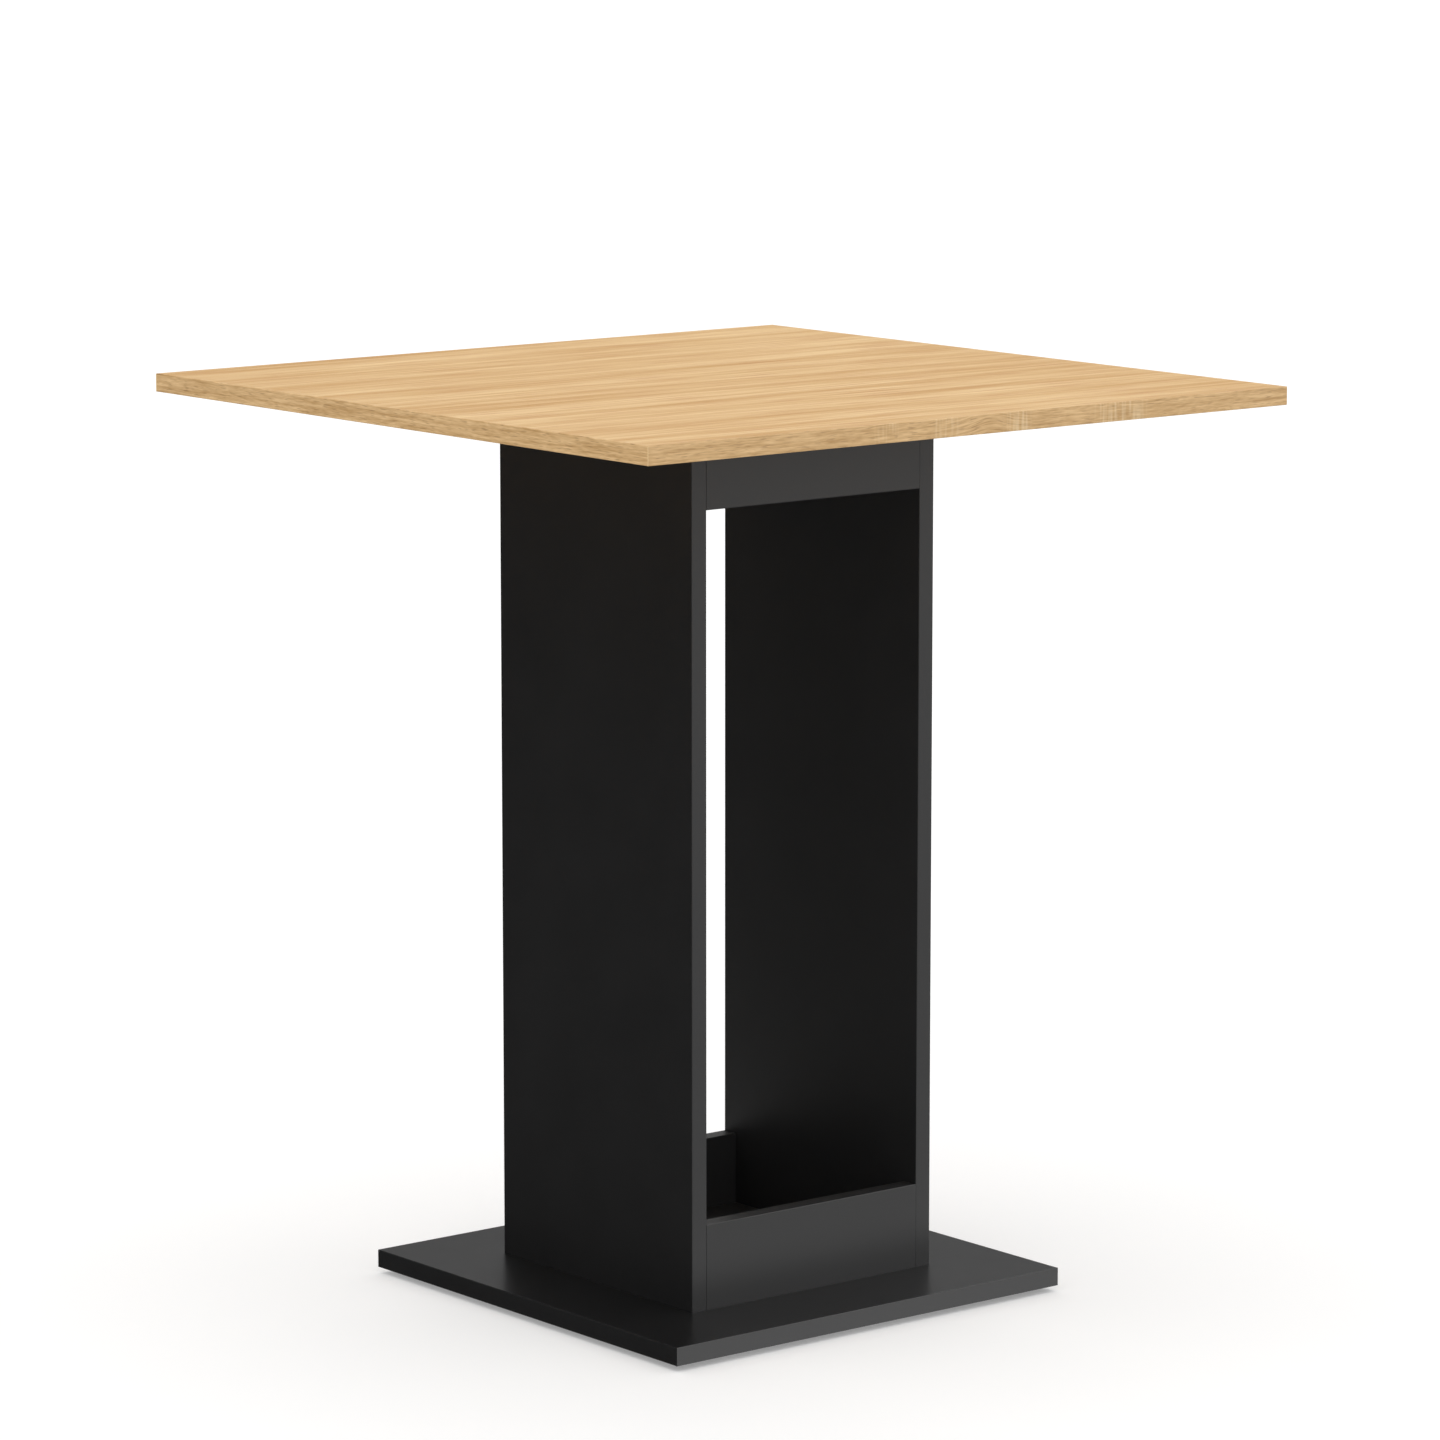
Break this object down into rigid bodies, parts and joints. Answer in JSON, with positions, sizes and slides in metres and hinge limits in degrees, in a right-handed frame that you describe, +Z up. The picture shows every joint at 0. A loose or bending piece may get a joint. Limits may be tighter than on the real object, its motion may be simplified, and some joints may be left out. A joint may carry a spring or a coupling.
{
  "type": "dining table",
  "caption": "Square pedestal dining table: oak-decor top on a black open box column with side panels and rails, standing on a square black base plate",
  "frame": {"origin": "on the floor, under the middle of the table top", "axes": "+Z up; the open front of the column, with its rails flush with the panels' edges, faces -Y; the side panels face -X and +X; the grain of the top runs along X"},
  "size_m": [0.65, 0.65, 0.75],
  "materials": {
    "oak_board": "melamine-faced chipboard with a light oak decor and a fine pore texture",
    "oak_band": "oak-decor plastic edge band",
    "black_board": "melamine-faced chipboard, black, satin with a fine pearl texture",
    "black_band": "black plastic edge band, satin",
    "plywood": "raw birch plywood",
    "zinc": "die-cast zinc, tumbled",
    "steel": "zinc-plated steel",
    "glide_plastic": "moulded black plastic"
  },
  "bodies": {
    "root": {"table_top": "oak_board", "top_band_front": "oak_band", "top_band_back": "oak_band", "top_band_left": "oak_band", "top_band_right": "oak_band", "left_side_panel": "black_board", "left_panel_front_band": "black_band", "left_panel_back_band": "black_band", "right_side_panel": "black_board", "right_panel_front_band": "black_band", "right_panel_back_band": "black_band", "front_top_rail": "black_board", "front_top_rail_band": "black_band", "back_top_rail": "black_board", "back_top_rail_band": "black_band", "front_bottom_rail": "black_board", "front_bottom_rail_band": "black_band", "back_bottom_rail": "black_board", "back_bottom_rail_band": "black_band", "floor_panel": "black_board", "base_plate": "black_board", "base_band_front": "black_band", "base_band_back": "black_band", "base_band_left": "black_band", "base_band_right": "black_band", "rail_tongues": "plywood", "top_tongues": "plywood", "top_cams": "zinc", "top_cam_bolts": "steel", "base_screws": "steel", "base_glides": "glide_plastic", "glide_nails": "steel"}
  },
  "joints": []
}
